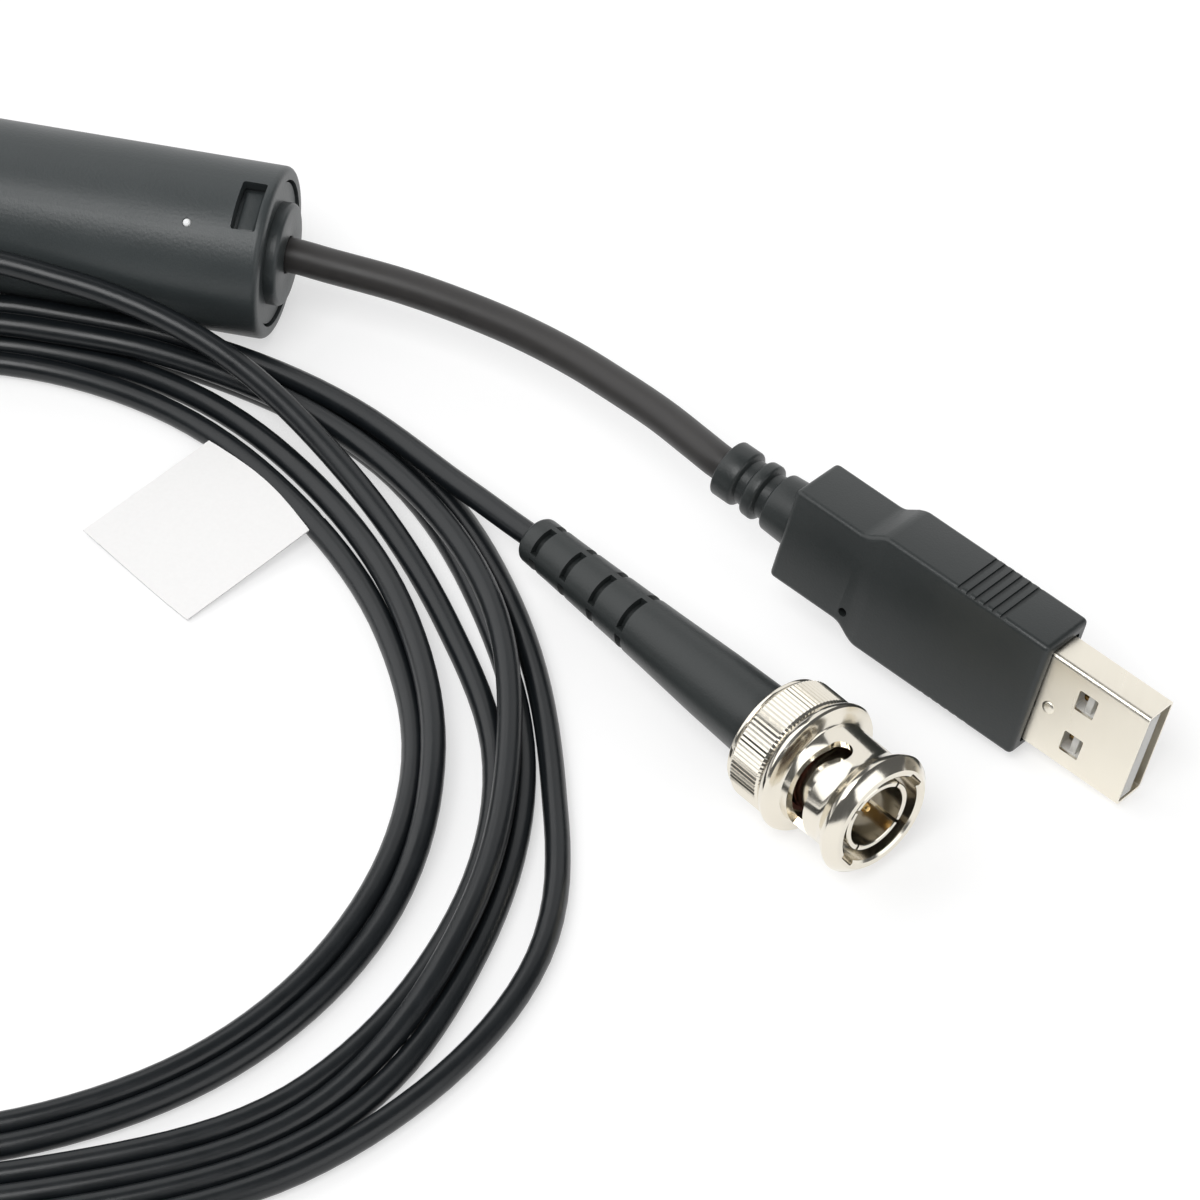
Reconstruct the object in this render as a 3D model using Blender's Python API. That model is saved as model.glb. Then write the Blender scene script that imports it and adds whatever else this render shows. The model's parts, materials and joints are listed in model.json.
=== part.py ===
"""USB to BNC interface lead: an in-line electronics barrel, a USB lead and a coiled coaxial lead.

Units are metres and +Z is up. The origin is under the middle of the barrel, on the surface that
everything lies on. +X runs along the barrel towards its USB end.
"""
import math

import bmesh
import bpy
from mathutils import Vector

# Fits
GAP = 0.0003            # clearance between pieces that touch on the real object
CLOSE_FIT = 0.0001      # clearance of the small contacts on their carrier

# Barrel
BARREL_RADIUS = 0.0094
BARREL_HALF = 0.0372
BARREL_WALL = 0.0014
BARREL_EDGE = 0.0007    # rounding of the tube's ends
CAP_DEPTH = 0.0070
BOSS_RADIUS = 0.0056
BOSS_HEIGHT = 0.0011
WINDOW_X = 0.0349       # middle of the latch window
WINDOW_LENGTH = 0.0026
WINDOW_WIDTH = 0.0068
WINDOW_TURN = 15.0      # degrees from the top towards the front
LATCH_SINK = 0.0007     # how far the latch lies below the barrel's surface
LED_X = 0.0288
LED_TURN = 34.4
LIGHT_PIPE_RADIUS = 0.0006
BOARD_SIZE = (0.0588, 0.0130, 0.0012)
BOARD_Z = 0.0079

# Cables
USB_CORD_RADIUS = 0.0019
COAX_RADIUS = 0.0013

# USB plug, with its shell pointing along its own +X and its width along +Z
USB_PLACE = (0.12876, -0.04061, 0.00775)
USB_TURN = (-13.6, 6.0, -26.2)      # degrees about X, Y and Z
SHELL_LENGTH = 0.0120
SHELL_TUCK = 0.0060                 # length of the shell inside the overmould
SHELL_HEIGHT = 0.0045
SHELL_WIDTH = 0.0120
SHELL_WALL = 0.0003
GRIP_LENGTH = 0.0208
GRIP_THICK = 0.0075
GRIP_WIDTH = 0.0147
NECK_STEP = 0.0022
NECK_LENGTH = 0.0089
NECK_THICK = 0.0074
NECK_WIDTH = 0.0117
USB_BOOT_LENGTH = 0.0098
USB_BOOT_RADIUS = 0.00315
POCKET_DEPTH = 0.0130

# BNC plug, with its nose pointing along its own +X from the front of the contact sleeve
BNC_PLACE = (0.11532, -0.06134, 0.0079)
BNC_TURN = (0.0, -2.0, -35.6)
NUT_BORE = 0.00495
NUT_FRONT = 0.0006
NUT_REAR = -0.0142
KNURL_FRONT = -0.0102
KNURL_RADIUS = 0.0070
LIP_FRONT = -0.0086
LIP_RADIUS = 0.0075
TUBE_RADIUS = 0.00575
FLARE_REAR = -0.0027
FLARE_FRONT = -0.0006
FLARE_RADIUS = 0.0069
NOSE_RADIUS = 0.0059
CHAMBER_RADIUS = 0.0063
CHAMBER_FRONT = -0.0092
SLOT_WIDTH = 0.0024
SLOT_ENTRY_TURNS = (241.0, 61.0)    # degrees about the nose, one for each slot
SLOT_COURSE = [                     # degrees from the entry and place along the nose, to the locking end
    (0.0, -0.0056), (20.0, -0.0058), (40.0, -0.0059), (60.0, -0.0059), (80.0, -0.0058), (100.0, -0.0055),
    (116.0, -0.0051)]
KEYWAY_DEPTH = 0.0005               # below the nut's bore
BODY_FLANGE_REAR = -0.0107
BODY_FLANGE_FRONT = -0.0097
BOOT_FRONT = -0.0153
BOOT_TAIL = -0.0518
SLEEVE_RADIUS = 0.00405
SLEEVE_BORE = 0.0036
PIN_RADIUS = 0.00068

# Coil of coaxial lead: the turns lie tight beside the barrel and spread on the other side
COIL_INNER_CENTRE = (0.0148, -0.0673)
COIL_INNER_RADIUS = 0.0515
COIL_OUTER_CENTRE = (0.0220, -0.0738)
COIL_OUTER_RADIUS = 0.0640
COIL_HEIGHT = 0.0060

# Routes of the cords' free stretches, from the barrel outwards
USB_CORD_ROUTE = [
    (0.0299, 0.0, 0.0094), (0.0342, 0.0, 0.0094), (0.0388, 0.0, 0.0094), (0.0430, -0.0005, 0.0093),
    (0.0509, -0.0014, 0.0092), (0.0591, -0.0031, 0.0092), (0.0645, -0.0052, 0.0093),
    (0.0719, -0.0085, 0.0098), (0.0751, -0.0104, 0.0101), (0.0828, -0.0157, 0.0112),
    (0.0874, -0.0194, 0.0119), (0.0905, -0.0218, 0.0122), (0.0920, -0.0225, 0.01206),
    (0.0934, -0.0232, 0.0119)]
COAX_LEAD_IN_ROUTE = [
    (-0.0299, 0.0, 0.0094), (-0.0342, 0.0, 0.0094), (-0.0388, 0.0, 0.0094), (-0.0438, -0.0004, 0.0093),
    (-0.0485, -0.0028, 0.0082), (-0.0514, -0.0074, 0.0062), (-0.0516, -0.0128, 0.0042),
    (-0.0488, -0.0178, 0.0027), (-0.0440, -0.0209, 0.0020), (-0.0380, -0.0222, 0.0018),
    (-0.0310, -0.0226, 0.0017), (-0.0245, -0.0221, 0.0017), (-0.0185, -0.0210, 0.0017)]
COAX_LEAD_OUT_ROUTE = [
    (0.0608, -0.0205, 0.0036), (0.0651, -0.0243, 0.0046), (0.0692, -0.0278, 0.0055),
    (0.07323, -0.0312, 0.00609), (0.07631, -0.03342, 0.00622), (0.07835, -0.03487, 0.00631)]

# Paper flag on the innermost turn
LABEL_SIZE = (0.0190, 0.0170, 0.0004)
LABEL_RADIUS = 0.0413               # from the coil's inner centre to the flag's middle
LABEL_TURN = 56.0
LABEL_TILT = -5.5
LABEL_Z = 0.0014

ROUND = 32              # sides of the visible turned pieces
SMALL_ROUND = 20        # sides of the small turned pieces
CORD_STEP = 0.0045      # spacing of the points along a cord


def clear_scene():
    """Remove whatever the open scene holds."""
    for item in list(bpy.data.objects):
        bpy.data.objects.remove(item, do_unlink=True)


def finish(name, colour, roughness, metallic=0.0):
    """A plain material of one colour."""
    surface = bpy.data.materials.new(name)
    surface.use_nodes = True
    shader = surface.node_tree.nodes["Principled BSDF"]
    shader.inputs["Base Color"].default_value = (*colour, 1.0)
    shader.inputs["Roughness"].default_value = roughness
    shader.inputs["Metallic"].default_value = metallic
    return surface


def place(name, data, surface, parent=None):
    """Link a named object for a mesh or a curve."""
    item = bpy.data.objects.new(name, data)
    bpy.context.collection.objects.link(item)
    data.materials.append(surface)
    item.parent = parent
    return item


def from_bmesh(name, shape, surface, parent=None, smooth=True):
    """Close a bmesh off as a named object with its faces outwards."""
    bmesh.ops.remove_doubles(shape, verts=shape.verts, dist=1e-6)
    bmesh.ops.dissolve_degenerate(shape, edges=shape.edges, dist=1e-7)
    bmesh.ops.recalc_face_normals(shape, faces=shape.faces)
    mesh = bpy.data.meshes.new(name)
    shape.to_mesh(mesh)
    shape.free()
    if smooth:
        mesh.shade_smooth()
        mesh.set_sharp_from_angle(angle=math.radians(35))
    return place(name, mesh, surface, parent)


def empty(name, location, turn, parent=None):
    """A frame that a plug's pieces hang on, turned by degrees about X, Y and Z."""
    frame = bpy.data.objects.new(name, None)
    bpy.context.collection.objects.link(frame)
    frame.location = location
    frame.rotation_euler = [math.radians(angle) for angle in turn]
    frame.parent = parent
    return frame


def turned(name, profile, surface, parent=None, sides=ROUND, solid=False):
    """Spin (x, radius) points about X. A solid profile starts and ends on the axis."""
    shape = bmesh.new()
    points = [shape.verts.new((x, 0.0, radius)) for x, radius in profile]
    edges = [shape.edges.new(pair) for pair in zip(points, points[1:])]
    if not solid:
        edges.append(shape.edges.new((points[-1], points[0])))
    bmesh.ops.spin(shape, geom=points + edges, cent=(0, 0, 0), axis=(1, 0, 0),
                   angle=2 * math.pi, steps=sides, use_merge=True)
    return from_bmesh(name, shape, surface, parent)


def lofted(name, sections, surface, parent=None, ring=False, smooth=True):
    """Skin loops of points. A ring joins the last loop to the first, otherwise both ends are capped."""
    shape = bmesh.new()
    loops = [[shape.verts.new(point) for point in section] for section in sections]
    pairs = list(zip(loops, loops[1:]))
    if ring:
        pairs.append((loops[-1], loops[0]))
    else:
        shape.faces.new(loops[0])
        shape.faces.new(loops[-1])
    for lower, upper in pairs:
        for corner in range(len(lower)):
            before = corner - 1
            shape.faces.new((lower[before], lower[corner], upper[corner], upper[before]))
    return from_bmesh(name, shape, surface, parent, smooth)


def block(name, size, centre, surface, parent=None, edge=0.0):
    """A box, with its edges bevelled if asked."""
    shape = bmesh.new()
    bmesh.ops.create_cube(shape, size=1.0)
    bmesh.ops.scale(shape, vec=size, verts=shape.verts)
    if edge:
        bmesh.ops.bevel(shape, geom=shape.edges[:], offset=edge, segments=1, profile=0.5,
                        affect="EDGES", material=-1)
    bmesh.ops.translate(shape, vec=centre, verts=shape.verts)
    return from_bmesh(name, shape, surface, parent, smooth=False)


def hide_cutter(cutter):
    """Mark an object as a tool and not a piece."""
    cutter.hide_render = True
    cutter.display_type = "WIRE"
    return cutter


def combine(item, cutter, operation):
    """Cut or join with a hidden tool."""
    hide_cutter(cutter)
    step = item.modifiers.new(cutter.name, "BOOLEAN")
    step.operation = operation
    step.object = cutter
    step.solver = "EXACT"


def rounded_section(x, thick, width, corner, steps=3):
    """A rounded rectangle across X, or a circle when the corners take up both sides."""
    points = []
    for quarter in range(4):
        side_y = (1, -1, -1, 1)[quarter]
        side_z = (1, 1, -1, -1)[quarter]
        for step in range(steps + 1):
            angle = math.radians(90 * (quarter + step / steps))
            y = side_y * (thick / 2 - corner) + corner * math.cos(angle)
            z = side_z * (width / 2 - corner) + corner * math.sin(angle)
            points.append((x, y, z))
    return points


def circle_section(x, radius):
    """A circle across X with the same points as a rounded rectangle."""
    return rounded_section(x, 2 * radius, 2 * radius, radius * 0.999)


def smooth_route(route):
    """Points at even spacing on a Catmull-Rom curve through a route."""
    knots = [Vector(point) for point in route]
    knots = [2 * knots[0] - knots[1]] + knots + [2 * knots[-1] - knots[-2]]
    fine = []
    for before, start, end, after in zip(knots, knots[1:], knots[2:], knots[3:]):
        for step in range(16):
            t = step / 16
            fine.append(0.5 * (2 * start + (end - before) * t
                               + (2 * before - 5 * start + 4 * end - after) * t ** 2
                               + (3 * start - before - 3 * end + after) * t ** 3))
    fine.append(knots[-2])
    total = sum((b - a).length for a, b in zip(fine, fine[1:]))
    count = max(2, round(total / CORD_STEP))
    even = [fine[0]]
    walked = 0.0
    for a, b in zip(fine, fine[1:]):
        length = (b - a).length
        while len(even) < count and walked + length >= len(even) * total / count:
            share = (len(even) * total / count - walked) / length
            even.append(a.lerp(b, share))
        walked += length
    even.append(fine[-1])
    return even


def cord(name, route, radius, surface):
    """A tube of eight sides along a cord's route."""
    points = smooth_route(route)
    curve = bpy.data.curves.new(name, "CURVE")
    curve.dimensions = "3D"
    curve.bevel_depth = radius
    curve.bevel_resolution = 2
    curve.use_fill_caps = True
    spline = curve.splines.new("POLY")
    spline.points.add(len(points) - 1)
    for knot, point in zip(spline.points, points):
        knot.co = (*point, 1.0)
    return place(name, curve, surface)


def build_barrel(finishes):
    """The tube, its two snap-in ends, the light pipe and the electronics inside."""
    axis = empty("barrel_frame", (0, 0, BARREL_RADIUS), (0, 0, 0))
    bore = BARREL_RADIUS - BARREL_WALL
    soft = BARREL_EDGE * 0.3
    tube = turned("barrel_tube", [
        (-BARREL_HALF, bore), (-BARREL_HALF, BARREL_RADIUS - BARREL_EDGE),
        (-BARREL_HALF + soft, BARREL_RADIUS - soft), (-BARREL_HALF + BARREL_EDGE, BARREL_RADIUS),
        (BARREL_HALF - BARREL_EDGE, BARREL_RADIUS), (BARREL_HALF - soft, BARREL_RADIUS - soft),
        (BARREL_HALF, BARREL_RADIUS - BARREL_EDGE), (BARREL_HALF, bore)],
        finishes["black_abs"], axis)
    window_frame = empty("window_frame", (0, 0, 0), (WINDOW_TURN, 0, 0), axis)
    led_turn = empty("led_turn", (LED_X, 0, 0), (LED_TURN, 0, 0), axis)
    led_frame = empty("led_frame", (0, 0, 0), (0, -90, 0), led_turn)
    for end in (-1, 1):
        opening = block(f"window_cutter_{end}", (WINDOW_LENGTH, WINDOW_WIDTH, 0.006),
                        (end * WINDOW_X, 0, BARREL_RADIUS), finishes["black_abs"], window_frame)
        combine(tube, opening, "DIFFERENCE")
    hole = turned("light_pipe_cutter", [
        (0.006, 0.0), (0.006, LIGHT_PIPE_RADIUS + GAP), (0.012, LIGHT_PIPE_RADIUS + GAP), (0.012, 0.0)],
        finishes["black_abs"], led_frame, 12, solid=True)
    combine(tube, hole, "DIFFERENCE")
    turned("light_pipe", [
        (0.0044, 0.0), (0.0044, LIGHT_PIPE_RADIUS), (BARREL_RADIUS - 0.0001, LIGHT_PIPE_RADIUS),
        (BARREL_RADIUS + 0.0001, LIGHT_PIPE_RADIUS * 0.6), (BARREL_RADIUS + 0.0002, 0.0)],
        finishes["clear_acrylic"], led_frame, 12, solid=True)
    for name, end, cord_radius in (("usb_end_cap", 1, USB_CORD_RADIUS), ("coax_end_cap", -1, COAX_RADIUS)):
        build_end_cap(name, end, cord_radius, finishes, axis, window_frame)
    build_electronics(finishes)


def build_end_cap(name, end, cord_radius, finishes, axis, window_frame):
    """A plug with a boss outside, a latch in the window and a clamp ring round the cord inside."""
    plug_radius = BARREL_RADIUS - BARREL_WALL - GAP
    hole = cord_radius + GAP
    inner = BARREL_HALF - CAP_DEPTH
    clamp_room = 0.0024
    clamp_radius = cord_radius + 0.0013
    cap = turned(name, [
        (end * inner, clamp_radius + GAP), (end * inner, plug_radius),
        (end * (BARREL_HALF - GAP), plug_radius), (end * (BARREL_HALF - GAP), BOSS_RADIUS),
        (end * (BARREL_HALF + BOSS_HEIGHT - GAP), BOSS_RADIUS),
        (end * (BARREL_HALF + BOSS_HEIGHT), BOSS_RADIUS - GAP), (end * (BARREL_HALF + BOSS_HEIGHT), hole),
        (end * (inner + clamp_room), hole), (end * (inner + clamp_room), clamp_radius + GAP)],
        finishes["black_abs"], axis)
    latch_top = BARREL_RADIUS - LATCH_SINK
    latch_base = plug_radius - 0.001
    latch_size = (WINDOW_LENGTH - 2 * GAP, WINDOW_WIDTH - 2 * GAP - 0.001, latch_top - latch_base)
    latch = block(f"{name}_latch", latch_size, (end * WINDOW_X, 0, (latch_top + latch_base) / 2),
                  finishes["black_abs"], window_frame)
    combine(cap, latch, "UNION")
    turned(name.replace("end_cap", "cord_clamp"), [
        (end * (inner + GAP), hole), (end * (inner + GAP), clamp_radius),
        (end * (inner + clamp_room - GAP), clamp_radius), (end * (inner + clamp_room - GAP), hole)],
        finishes["tinned_steel"], axis, SMALL_ROUND)


def build_electronics(finishes):
    """The circuit board and what is soldered to it."""
    block("circuit_board", BOARD_SIZE, (0, 0, BOARD_Z), finishes["green_board"])
    top = BOARD_Z + BOARD_SIZE[2] / 2 + CLOSE_FIT
    parts = [
        ("usb_controller_chip", (0.0070, 0.0070, 0.0010), (0.0100, 0.0000), "black_epoxy"),
        ("signal_amplifier_chip", (0.0050, 0.0040, 0.0014), (-0.0205, 0.0000), "black_epoxy"),
        ("crystal_can", (0.0080, 0.0034, 0.0030), (0.0182, -0.0036), "tinned_steel"),
        ("status_led", (0.0016, 0.0012, 0.0010), (0.0281, -0.0024), "clear_acrylic"),
        ("usb_wire_header", (0.0050, 0.0070, 0.0040), (0.0245, 0.0025), "white_nylon"),
        ("coax_wire_header", (0.0036, 0.0060, 0.0034), (-0.0268, 0.0000), "white_nylon")]
    for name, size, spot, surface in parts:
        block(name, size, (*spot, top + size[2] / 2), finishes[surface], edge=0.0002)
    for number, x in enumerate((0.0020, 0.0160), start=1):
        drum = turned(f"capacitor_{number}", [
            (0.0, 0.0), (0.0, 0.0017), (0.0036, 0.0017), (0.0040, 0.0014), (0.0040, 0.0)],
            finishes["tinned_steel"], None, SMALL_ROUND, solid=True)
        drum.location = (x, 0.0036 if number == 2 else 0.0, top)
        drum.rotation_euler = (0, math.radians(-90), 0)
    shield_size = Vector((0.0140, 0.0104, 0.0036))
    wall = 0.0004
    middle = Vector((-0.0095, 0.0, top))
    outline = [(-1, -1), (1, -1), (1, 1), (-1, 1)]

    def rim(inset, z):
        """The shield's outline, drawn in by an inset, at a height above the board."""
        half = shield_size / 2 - Vector((inset, inset, 0))
        return [tuple(middle + Vector((sx * half.x, sy * half.y, z))) for sx, sy in outline]

    lofted("shield_can", [rim(wall, shield_size.z - wall), rim(wall, 0), rim(0, 0), rim(0, shield_size.z)],
           finishes["tinned_steel"], smooth=False)


def build_usb_plug(finishes):
    """The moulded grip and boot, the shell, and the tongue with its four contacts."""
    frame = empty("usb_plug_frame", USB_PLACE, USB_TURN)
    neck_front = -(GRIP_LENGTH + NECK_STEP)
    rear = neck_front - NECK_LENGTH
    tail = rear - USB_BOOT_LENGTH
    hole = USB_CORD_RADIUS + GAP
    groove = 0.0026
    sections = [circle_section(tail + 0.0046, hole), circle_section(tail, hole),
                circle_section(tail, USB_BOOT_RADIUS - 0.0003),
                circle_section(tail + 0.0003, USB_BOOT_RADIUS)]
    ribs = [(0.0024, USB_BOOT_RADIUS), (0.0027, groove), (0.0036, groove), (0.0039, 0.0031),
            (0.0051, 0.0032), (0.0054, groove), (0.0063, groove), (0.0066, 0.0033)]
    for along, radius in ribs:
        sections.append(circle_section(tail + along, radius))
    sections += [
        circle_section(rear, 0.0035),
        rounded_section(rear, NECK_THICK - 0.0006, NECK_WIDTH - 0.0006, 0.0007),
        rounded_section(rear + 0.0004, NECK_THICK, NECK_WIDTH, 0.0009),
        rounded_section(neck_front, NECK_THICK, NECK_WIDTH, 0.0009),
        rounded_section(-GRIP_LENGTH, GRIP_THICK, GRIP_WIDTH, 0.0009),
        rounded_section(-0.0004, GRIP_THICK, GRIP_WIDTH, 0.0009),
        rounded_section(0.0, GRIP_THICK - 0.0006, GRIP_WIDTH - 0.0006, 0.0007),
        rounded_section(0.0, SHELL_HEIGHT + 2 * GAP, SHELL_WIDTH + 2 * GAP, 0.0006),
        rounded_section(-POCKET_DEPTH, SHELL_HEIGHT + 2 * GAP, SHELL_WIDTH + 2 * GAP, 0.0006)]
    lofted("usb_overmould", sections, finishes["black_pvc"], frame)
    block("usb_inner_mould", (POCKET_DEPTH - SHELL_TUCK - 3 * GAP, SHELL_HEIGHT, SHELL_WIDTH - 0.0004),
          (-(POCKET_DEPTH + SHELL_TUCK) / 2, 0, 0), finishes["white_nylon"], frame, edge=0.0003)
    bore = SHELL_HEIGHT - 2 * SHELL_WALL
    shell = lofted("usb_shell", [
        rounded_section(-SHELL_TUCK, SHELL_HEIGHT, SHELL_WIDTH, 0.0005, 2),
        rounded_section(SHELL_LENGTH, SHELL_HEIGHT, SHELL_WIDTH, 0.0005, 2),
        rounded_section(SHELL_LENGTH, bore, SHELL_WIDTH - 2 * SHELL_WALL, 0.0002, 2),
        rounded_section(-SHELL_TUCK, bore, SHELL_WIDTH - 2 * SHELL_WALL, 0.0002, 2)],
        finishes["nickel_steel"], frame, ring=True)
    for side in (-1, 1):
        cutter = block(f"shell_window_cutter_{side}", (0.0023, 0.012, 0.0025), (0.0052, 0, side * 0.0023),
                       finishes["nickel_steel"], frame)
        combine(shell, cutter, "DIFFERENCE")
    tongue_back = -bore / 2 + GAP
    tongue_face = 0.0002
    block("usb_tongue", (0.0162, tongue_face - tongue_back, 0.0108),
          (0.0026, (tongue_face + tongue_back) / 2, 0), finishes["white_nylon"], frame, edge=0.0002)
    for number, spot in enumerate((-0.0035, -0.0010, 0.0010, 0.0035), start=1):
        front = 0.0098 if abs(spot) > 0.002 else 0.0088
        block(f"usb_contact_{number}", (front + 0.0050, 0.0002, 0.0011),
              ((front - 0.0050) / 2, tongue_face + CLOSE_FIT + 0.0001, spot), finishes["gold_plate"], frame)


def build_bnc_plug(finishes):
    """The boot, the fixed inner pieces, and the sprung coupling nut that turns round them."""
    frame = empty("bnc_plug_frame", BNC_PLACE, BNC_TURN)
    coax_hole = COAX_RADIUS + GAP
    turned("bnc_boot", [
        (-0.0270, coax_hole), (BOOT_TAIL, coax_hole), (BOOT_TAIL, 0.0023), (BOOT_TAIL + 0.0004, 0.00265),
        (BOOT_TAIL + 0.0090, 0.0029), (-0.0330, 0.0034), (-0.0240, 0.0038), (-0.0175, 0.00405),
        (BOOT_FRONT, 0.0039), (BOOT_FRONT, 0.0035), (-0.0270, 0.0035)], finishes["black_pvc"], frame, 24)
    turned("bnc_crimp_ferrule", [
        (-0.0265, 0.00275), (-0.0265, 0.0032), (-0.0176, 0.0032), (-0.0176, 0.00275)],
        finishes["nickel_brass"], frame, SMALL_ROUND)
    turned("bnc_body", [
        (-0.0260, 0.0019), (-0.0260, 0.00245), (-0.0172, 0.00245), (-0.0172, 0.0032),
        (BOOT_FRONT + GAP, 0.0032), (BOOT_FRONT + GAP, 0.0042), (BODY_FLANGE_REAR, 0.0042),
        (BODY_FLANGE_REAR, 0.0059), (BODY_FLANGE_FRONT, 0.0059), (BODY_FLANGE_FRONT, 0.0039),
        (-0.0080, 0.0039), (-0.0080, 0.0019)], finishes["nickel_brass"], frame, SMALL_ROUND)
    turned("bnc_gasket", [(-0.0088, 0.0042), (-0.0088, 0.0047), (-0.0081, 0.0047), (-0.0081, 0.0042)],
           finishes["silicone"], frame, SMALL_ROUND)
    turned("bnc_contact_sleeve", [
        (-0.0077, SLEEVE_BORE), (-0.0077, SLEEVE_RADIUS), (-0.0005, SLEEVE_RADIUS),
        (0.0, SLEEVE_RADIUS - 0.0003), (0.0, SLEEVE_BORE)], finishes["nickel_brass"], frame, 24)
    turned("bnc_insulator", [
        (-0.0200, 0.0009), (-0.0200, 0.0016), (-0.0076, 0.0016), (-0.0076, 0.0024), (-0.0050, 0.0024),
        (-0.0050, 0.0009)], finishes["ptfe"], frame, SMALL_ROUND)
    turned("bnc_pin", [
        (-0.0240, 0.0), (-0.0240, PIN_RADIUS), (-0.0020, PIN_RADIUS), (-0.0013, PIN_RADIUS * 0.45),
        (-0.0012, 0.0)], finishes["gold_plate"], frame, 12, solid=True)
    build_coupling(finishes, frame)


def build_coupling(finishes, frame):
    """The wave spring, thrust washer and retaining ring, and the nut with its two bayonet slots."""
    spring = turned("bnc_wave_spring", [
        (-0.0115, 0.0048), (-0.0115, 0.0058), (-0.01115, 0.0058), (-0.01115, 0.0048)],
        finishes["spring_steel"], frame, ROUND)
    for point in spring.data.vertices:
        point.co.x += 0.00025 * math.sin(3 * math.atan2(point.co.y, point.co.z))
    turned("bnc_thrust_washer", [
        (-0.01295, 0.0047), (-0.01295, 0.0060), (-0.01245, 0.0060), (-0.01245, 0.0047)],
        finishes["spring_steel"], frame, SMALL_ROUND)
    turned("bnc_retaining_ring", [
        (-0.0149, 0.0045), (-0.0149, 0.0066), (NUT_REAR - GAP, 0.0066), (NUT_REAR - GAP, 0.0060),
        (-0.0134, 0.0060), (-0.0134, 0.0045)], finishes["nickel_brass"], frame, SMALL_ROUND)
    nut = turned("bnc_coupling_nut", [
        (NUT_REAR, CHAMBER_RADIUS), (NUT_REAR, KNURL_RADIUS - 0.0003), (NUT_REAR + 0.0003, KNURL_RADIUS),
        (KNURL_FRONT, KNURL_RADIUS), (LIP_FRONT - 0.0005, LIP_RADIUS), (LIP_FRONT, LIP_RADIUS - 0.0001),
        (LIP_FRONT + 0.0007, TUBE_RADIUS), (FLARE_REAR, TUBE_RADIUS), (FLARE_FRONT, FLARE_RADIUS),
        (FLARE_FRONT + 0.0003, FLARE_RADIUS), (NUT_FRONT, NOSE_RADIUS), (NUT_FRONT, NUT_BORE),
        (CHAMBER_FRONT, NUT_BORE), (CHAMBER_FRONT, CHAMBER_RADIUS)], finishes["nickel_brass"], frame, ROUND)
    half = SLOT_WIDTH / 2
    slot_inside = NUT_BORE - 0.0005
    slot_outside = FLARE_RADIUS
    keyway_start = SLOT_COURSE[0][1]
    keyway_length = NUT_FRONT + 0.0010 - keyway_start
    keyway_height = NUT_BORE / 2
    for number, entry in enumerate(SLOT_ENTRY_TURNS, start=1):
        course = []
        for swept, x in SLOT_COURSE:
            turn = math.radians(entry + swept)
            corners = [(x - half, slot_inside), (x + half, slot_inside), (x + half, slot_outside),
                       (x - half, slot_outside)]
            course.append([(along, r * math.sin(turn), r * math.cos(turn)) for along, r in corners])
        combine(nut, lofted(f"slot_cutter_{number}", course, finishes["nickel_brass"], frame, smooth=False),
                "DIFFERENCE")
        keyway = block(f"keyway_cutter_{number}", (keyway_length, SLOT_WIDTH, keyway_height),
                       (keyway_start + keyway_length / 2, 0, NUT_BORE + KEYWAY_DEPTH - keyway_height / 2),
                       finishes["nickel_brass"], frame)
        keyway.rotation_euler = (math.radians(-entry), 0, 0)
        combine(nut, keyway, "DIFFERENCE")


def build_cords(finishes):
    """The two leads' free stretches, the coil and the paper flag."""
    cord("usb_cord", USB_CORD_ROUTE, USB_CORD_RADIUS, finishes["usb_cable"])
    cord("coax_lead_in", COAX_LEAD_IN_ROUTE, COAX_RADIUS, finishes["coax_cable"])
    cord("coax_lead_out", COAX_LEAD_OUT_ROUTE, COAX_RADIUS, finishes["coax_cable"])
    sections = []
    steps = 48
    for step in range(steps):
        turn = 2 * math.pi * step / steps
        ray = Vector((math.cos(turn), math.sin(turn), 0.0))
        inner = Vector((*COIL_INNER_CENTRE, 0.0)) + ray * COIL_INNER_RADIUS
        outer = Vector((*COIL_OUTER_CENTRE, 0.0)) + ray * COIL_OUTER_RADIUS
        bank = COIL_HEIGHT * 0.25
        section = []
        for foot, inset, height in (
                (inner, 0.4, 0.0), (inner, 0.0, bank),
                (inner, 0.0, COIL_HEIGHT - bank), (inner, 0.4, COIL_HEIGHT),
                (outer, -0.4, COIL_HEIGHT), (outer, 0.0, COIL_HEIGHT - bank),
                (outer, 0.0, bank), (outer, -0.4, 0.0)):
            section.append(tuple(foot + ray * inset * COIL_HEIGHT * 0.5 + Vector((0, 0, height))))
        sections.append(section)
    lofted("coax_coil", sections, finishes["coax_cable"], ring=True)
    label = block("paper_label", LABEL_SIZE, (0, 0, 0), finishes["white_paper"])
    turn = math.radians(LABEL_TURN)
    label.location = (COIL_INNER_CENTRE[0] + LABEL_RADIUS * math.cos(turn),
                      COIL_INNER_CENTRE[1] + LABEL_RADIUS * math.sin(turn), LABEL_Z)
    label.rotation_euler = (0, math.radians(LABEL_TILT), turn)


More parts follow.
